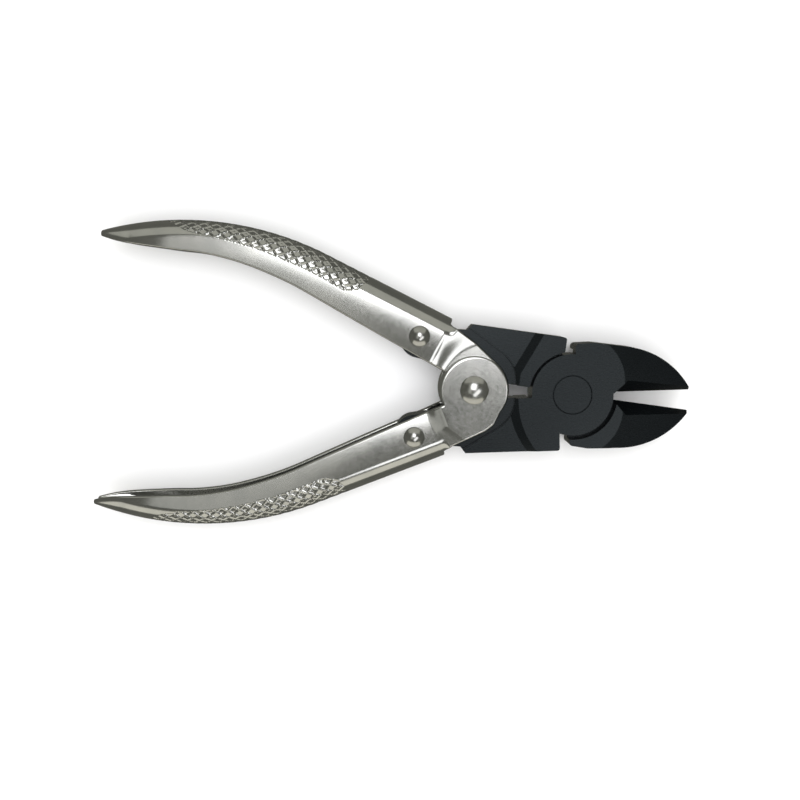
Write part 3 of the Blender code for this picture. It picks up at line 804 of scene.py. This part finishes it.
def add_noise(nodes, links, vector, scale, detail, stretch=None):
    """A noise texture, its coordinates stretched first where asked."""
    if stretch:
        mapping = nodes.new("ShaderNodeMapping")
        mapping.inputs["Scale"].default_value = stretch
        links.new(vector, mapping.inputs["Vector"])
        vector = mapping.outputs["Vector"]
    texture = nodes.new("ShaderNodeTexNoise")
    texture.inputs["Scale"].default_value = scale
    texture.inputs["Detail"].default_value = detail
    links.new(vector, texture.inputs["Vector"])
    return texture.outputs["Fac"]


def add_range(nodes, links, value, from_low, from_high, to_low, to_high):
    ranged = nodes.new("ShaderNodeMapRange")
    ranged.inputs["From Min"].default_value = from_low
    ranged.inputs["From Max"].default_value = from_high
    ranged.inputs["To Min"].default_value = to_low
    ranged.inputs["To Max"].default_value = to_high
    links.new(value, ranged.inputs["Value"])
    return ranged.outputs["Result"]


def add_bump(nodes, links, height, distance, strength, after=None):
    bump = nodes.new("ShaderNodeBump")
    bump.inputs["Distance"].default_value = distance
    bump.inputs["Strength"].default_value = strength
    links.new(height, bump.inputs["Height"])
    if after:
        links.new(after, bump.inputs["Normal"])
    return bump.outputs["Normal"]


def add_mix(nodes, links, factor, first, second):
    mix = nodes.new("ShaderNodeMix")
    mix.data_type = "RGBA"
    mix.inputs["A"].default_value = (*first, 1.0)
    mix.inputs["B"].default_value = (*second, 1.0)
    links.new(factor, mix.inputs["Factor"])
    return mix.outputs["Result"]


def pressed_steel(name):
    """Bright pressed sheet, polished along the handle and faintly clouded."""
    made, nodes, links, shader = new_material(name)
    shader.inputs["Metallic"].default_value = 1.0
    marks = nodes.new("ShaderNodeUVMap")
    marks.uv_map = "length_and_across"
    place = nodes.new("ShaderNodeTexCoord").outputs["Object"]
    polish = add_noise(nodes, links, marks.outputs["UV"], 1.0, 3.0, (0.5, 9.0, 1.0))
    cloud = add_noise(nodes, links, place, 160.0, 4.0)
    speckle = add_noise(nodes, links, place, 1500.0, 3.0)
    links.new(add_mix(nodes, links, add_range(nodes, links, cloud, 0.3, 0.7, 0.0, 1.0),
                      (0.50, 0.505, 0.50), (0.58, 0.58, 0.57)), shader.inputs["Base Color"])
    links.new(add_range(nodes, links, speckle, 0.3, 0.7, 0.14, 0.19), shader.inputs["Roughness"])
    worn = add_bump(nodes, links, cloud, 0.000002, 0.1)
    links.new(add_bump(nodes, links, polish, 0.000004, 0.2, worn), shader.inputs["Normal"])
    return made


def polished_dome(name):
    """Turned steel, a little duller than the sheet."""
    made, nodes, links, shader = new_material(name)
    shader.inputs["Metallic"].default_value = 1.0
    place = nodes.new("ShaderNodeTexCoord").outputs["Object"]
    cloud = add_noise(nodes, links, place, 900.0, 3.0)
    colour = add_mix(nodes, links, cloud, (0.42, 0.42, 0.41), (0.54, 0.54, 0.53))
    links.new(colour, shader.inputs["Base Color"])
    links.new(add_range(nodes, links, cloud, 0.3, 0.7, 0.16, 0.24), shader.inputs["Roughness"])
    return made


def black_oxide(name):
    """Satin black oxide over ground steel, with faint grinding lines."""
    made, nodes, links, shader = new_material(name)
    shader.inputs["Metallic"].default_value = 0.0
    shader.inputs["Specular IOR Level"].default_value = 0.34
    shader.inputs["Specular Tint"].default_value = (0.84, 0.94, 1.0, 1.0)
    place = nodes.new("ShaderNodeTexCoord").outputs["Object"]
    grind = add_noise(nodes, links, place, 900.0, 3.0, (0.4, 6.0, 6.0))
    cloud = add_noise(nodes, links, place, 90.0, 3.0)
    grit = add_noise(nodes, links, place, 3500.0, 3.0)
    colour = add_mix(nodes, links, cloud, (0.001, 0.0014, 0.0019), (0.0026, 0.0035, 0.0044))
    links.new(colour, shader.inputs["Base Color"])
    links.new(add_range(nodes, links, grind, 0.3, 0.7, 0.25, 0.31), shader.inputs["Roughness"])
    fine = add_bump(nodes, links, grind, 0.000006, 0.15)
    links.new(add_bump(nodes, links, grit, 0.00001, 0.15, fine), shader.inputs["Normal"])
    return made


# ---- the tool ----

def add_piece(name, mesh, material, centre, body, node, turn=0.0, turn_over=False):
    """A fine piece in place of its CAD node, riding on the same body."""
    mesh.name = name
    mesh.materials.clear()
    mesh.materials.append(material)
    place = Matrix.Translation(Vector((centre.x, centre.y, MIDDLE_Z)) * MM)
    place @= Matrix.Rotation(math.radians(turn), 4, "Z")
    if turn_over:
        place @= Matrix.Rotation(math.pi, 4, "X")
    mesh.transform(place)
    piece = bpy.data.objects.new(name, mesh)
    bpy.context.collection.objects.link(piece)
    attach(piece, body)
    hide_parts(node)


def smooth(mesh, angle=30):
    mesh.shade_smooth()
    mesh.set_sharp_from_angle(angle=math.radians(angle))


def break_edges(mesh, width, segments, keep_sharp):
    """Rounds a mesh's hard edges a little, but for those that keep_sharp picks by their middle."""
    bm = bmesh.new()
    bm.from_mesh(mesh)
    bmesh.ops.remove_doubles(bm, verts=bm.verts, dist=WELD * MM)
    bmesh.ops.dissolve_limit(bm, angle_limit=math.radians(FLAT_ANGLE), verts=bm.verts, edges=bm.edges)
    hard = []
    for edge in bm.edges:
        middle = (edge.verts[0].co + edge.verts[1].co) / 2 / MM
        if edge.is_manifold and edge.calc_face_angle() > math.radians(HARD_ANGLE) and not keep_sharp(middle):
            hard.append(edge)
    bmesh.ops.bevel(bm, geom=hard, offset=width * MM, segments=segments, profile=0.5, affect="EDGES",
                    clamp_overlap=True)
    bm.to_mesh(mesh)
    bm.free()


def cutting_edge(middle):
    """The blade's edge and tip stay sharp."""
    return middle.x > DISC_R and (abs(middle.z) < SHARP_EDGE_HALF or middle.x > BLADE_REACH - SHARP_TIP)


def add_jaws():
    black = black_oxide("black_oxide")
    mesh = jaw_mesh()
    break_edges(mesh, BROKEN_EDGE, 2, cutting_edge)
    smooth(mesh, JAW_FACET_ANGLE)
    add_piece("lower_jaw_forging", mesh.copy(), black, JAW_PIVOT, "lower_jaw", "lower_jaw",
              turn=-JAW_OPENING)
    add_piece("upper_jaw_forging", mesh, black, JAW_PIVOT, "upper_jaw", "upper_jaw",
              turn=JAW_OPENING, turn_over=True)
    pin = mesh_of(flush_pin(), "pin")
    smooth(pin)
    add_piece("flush_pivot_pin", pin, black_oxide("ground_black"), JAW_PIVOT, "upper_jaw", "jaw_pivot_pin")


def add_handles():
    upper = handle_mesh("upper", 1, UPPER_EAR_FRONT, UPPER_EAR_R, INNER_EAR_OUTER, upper_ear_share, 0.0)
    lower = handle_mesh("lower", -1, LOWER_EAR_FRONT, LOWER_EAR_R, OUTER_EAR_OUTER, lower_ear_share,
                        LOWER_KNURL_SHIFT)
    steel = pressed_steel("pressed_steel")
    for side, mesh in (("upper", upper), ("lower", lower)):
        smooth(mesh, HANDLE_FACET_ANGLE)
        add_piece(f"{side}_handle_pressing", mesh, steel, HANDLE_PIVOT, f"{side}_handle", f"{side}_handle")


def add_rivets():
    dome = polished_dome("polished_dome")
    seat = OUTER_EAR_OUTER + HEAD_GAP
    rivet = mesh_of(domed_rivet(RIVET_SHANK_R, RIVET_HEAD_R, seat, RIVET_DOME - HEAD_GAP), "rivet")
    smooth(rivet)
    add_piece("domed_handle_rivet", rivet, dome, HANDLE_PIVOT, "lower_handle", "handle_rivet")
    for side, centre in (("upper", UPPER_TAIL), ("lower", LOWER_TAIL)):
        rivet = mesh_of(domed_rivet(TAIL_SHANK_R, TAIL_HEAD_R, WALL_OUTER + HEAD_GAP, TAIL_DOME), "rivet")
        smooth(rivet)
        add_piece(f"domed_{side}_tail_rivet", rivet, dome, centre, f"{side}_handle", f"{side}_tail_rivet")
    spacer_materials = frame["nodes"]["pivot_spacer"].data.materials
    spacer_materials.clear()
    spacer_materials.append(dome)


# ---- stage, light and camera ----

def add_floor():
    bpy.ops.mesh.primitive_plane_add(size=FLOOR_SIZE)
    floor = bpy.context.object
    floor.name = "floor"
    made, _, _, shader = new_material("pale_floor")
    shader.inputs["Base Color"].default_value = (0.9, 0.9, 0.92, 1)
    shader.inputs["Roughness"].default_value = 0.9
    shader.inputs["Specular IOR Level"].default_value = 0.1
    floor.data.materials.append(made)
    floor.visible_glossy = False


def add_softbox(name, azimuth, elevation, size, radiance, colour=(1, 1, 1)):
    """A panel that faces the tool, placed by the direction it lights from."""
    a, e = math.radians(azimuth), math.radians(elevation)
    lamp = bpy.data.lights.new(name, "AREA")
    lamp.shape = "RECTANGLE"
    lamp.size, lamp.size_y = size
    lamp.energy = 4 * size[0] * size[1] * radiance
    lamp.color = colour
    holder = bpy.data.objects.new(name, lamp)
    towards = Vector((math.cos(a) * math.cos(e), math.sin(a) * math.cos(e), math.sin(e)))
    holder.location = towards * PANEL_DISTANCE
    holder.rotation_euler = towards.to_track_quat("Z", "Y").to_euler()
    bpy.context.collection.objects.link(holder)


def add_lights():
    """Soft panels overhead, towards the blades, towards the handles, in front and behind, then a wash
    for the floor, and a room that is dim in reflections and pale to the camera."""
    add_softbox("overhead_panel", 82, 77.6, (0.3, 0.37), 2.5)
    add_softbox("end_panel", -42, 68, (0.5, 0.2), 1.7)
    add_softbox("side_panel", 170, 78, (0.6, 0.22), 0.32, (1.0, 1.0, 0.94))
    add_softbox("front_panel", -90, 28, (1.4, 0.6), 0.6, (1.0, 0.97, 0.84))
    add_softbox("back_panel", 90, 34, (1.4, 0.8), 0.3, (1.0, 1.0, 0.88))
    wash = bpy.data.lights.new("floor_wash", "SUN")
    wash.energy = FLOOR_WASH
    wash.angle = math.radians(90)
    holder = bpy.data.objects.new("floor_wash", wash)
    holder.visible_glossy = False
    bpy.context.collection.objects.link(holder)
    world = bpy.data.worlds.new("studio")
    world.use_nodes = True
    nodes, links = world.node_tree.nodes, world.node_tree.links
    room = nodes["Background"]
    room.inputs["Color"].default_value = (0.15, 0.15, 0.13, 1)
    backdrop = nodes.new("ShaderNodeBackground")
    backdrop.inputs["Color"].default_value = (0.95, 0.95, 0.95, 1)
    seen = nodes.new("ShaderNodeLightPath")
    mix = nodes.new("ShaderNodeMixShader")
    links.new(seen.outputs["Is Camera Ray"], mix.inputs["Fac"])
    links.new(room.outputs["Background"], mix.inputs[1])
    links.new(backdrop.outputs["Background"], mix.inputs[2])
    links.new(mix.outputs["Shader"], nodes["World Output"].inputs["Surface"])
    bpy.context.scene.world = world


def add_camera():
    """Looks down on the tool, a little from its upper handle's side."""
    lens = bpy.data.cameras.new("camera")
    lens.sensor_width = 36.0
    lens.lens = lens.sensor_width * CAMERA_DISTANCE / VIEW_WIDTH
    lens.clip_start, lens.clip_end = 0.01, 10
    camera = bpy.data.objects.new("camera", lens)
    turn = Matrix.Rotation(math.radians(CAMERA_ROLL), 4, "Z")
    turn @= Matrix.Rotation(math.radians(-CAMERA_TILT), 4, "X")
    aim = Vector((JAW_PIVOT.x + CAMERA_AIM[0], CAMERA_AIM[1], MIDDLE_Z)) * MM
    camera.matrix_world = Matrix.Translation(aim + turn @ Vector((0, 0, CAMERA_DISTANCE * MM))) @ turn
    bpy.context.collection.objects.link(camera)
    bpy.context.scene.camera = camera


def main():
    add_camera()
    add_jaws()
    add_handles()
    add_rivets()
    add_floor()
    add_lights()
    bpy.context.scene.view_settings.view_transform = "Standard"


main()
